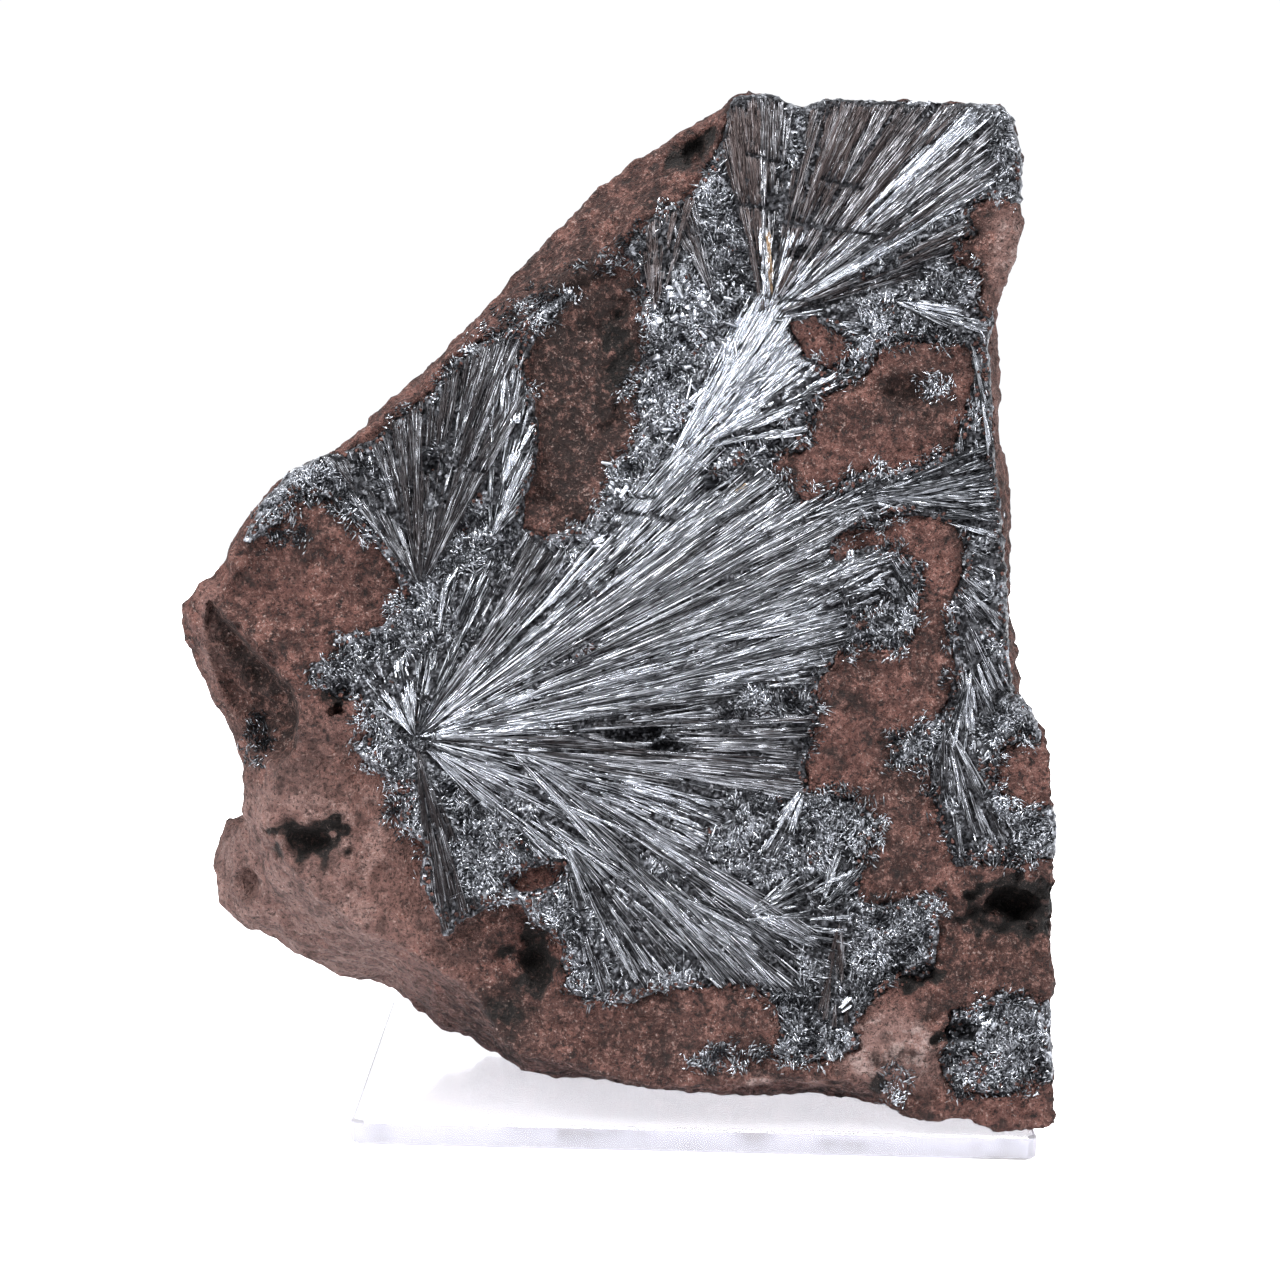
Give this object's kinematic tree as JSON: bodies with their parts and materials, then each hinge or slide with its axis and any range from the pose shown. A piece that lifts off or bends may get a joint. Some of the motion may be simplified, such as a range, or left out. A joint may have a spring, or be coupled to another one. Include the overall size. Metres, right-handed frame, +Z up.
{
  "type": "pyrolusite specimen",
  "caption": "Radiating sprays of steel-grey pyrolusite needles across the face of a brown rock, standing on a square of clear acrylic.",
  "frame": {"origin": "middle of the display base's underside", "axes": "+Z up, the crystal-covered face towards -Y, +X to the right as the face is looked at"},
  "size_m": [0.0892, 0.0692, 0.1052],
  "materials": {
    "brown_rock": "rough fine-grained reddish brown rock",
    "pyrolusite": "steel-grey to black needles with a bright metallic lustre",
    "clear_acrylic": "polished clear acrylic sheet with a few dust specks"
  },
  "bodies": {
    "root": {"matrix_rock": "brown_rock", "pyrolusite_crust": "pyrolusite", "pyrolusite_corner_patch": "pyrolusite", "display_base": "clear_acrylic"}
  },
  "joints": []
}
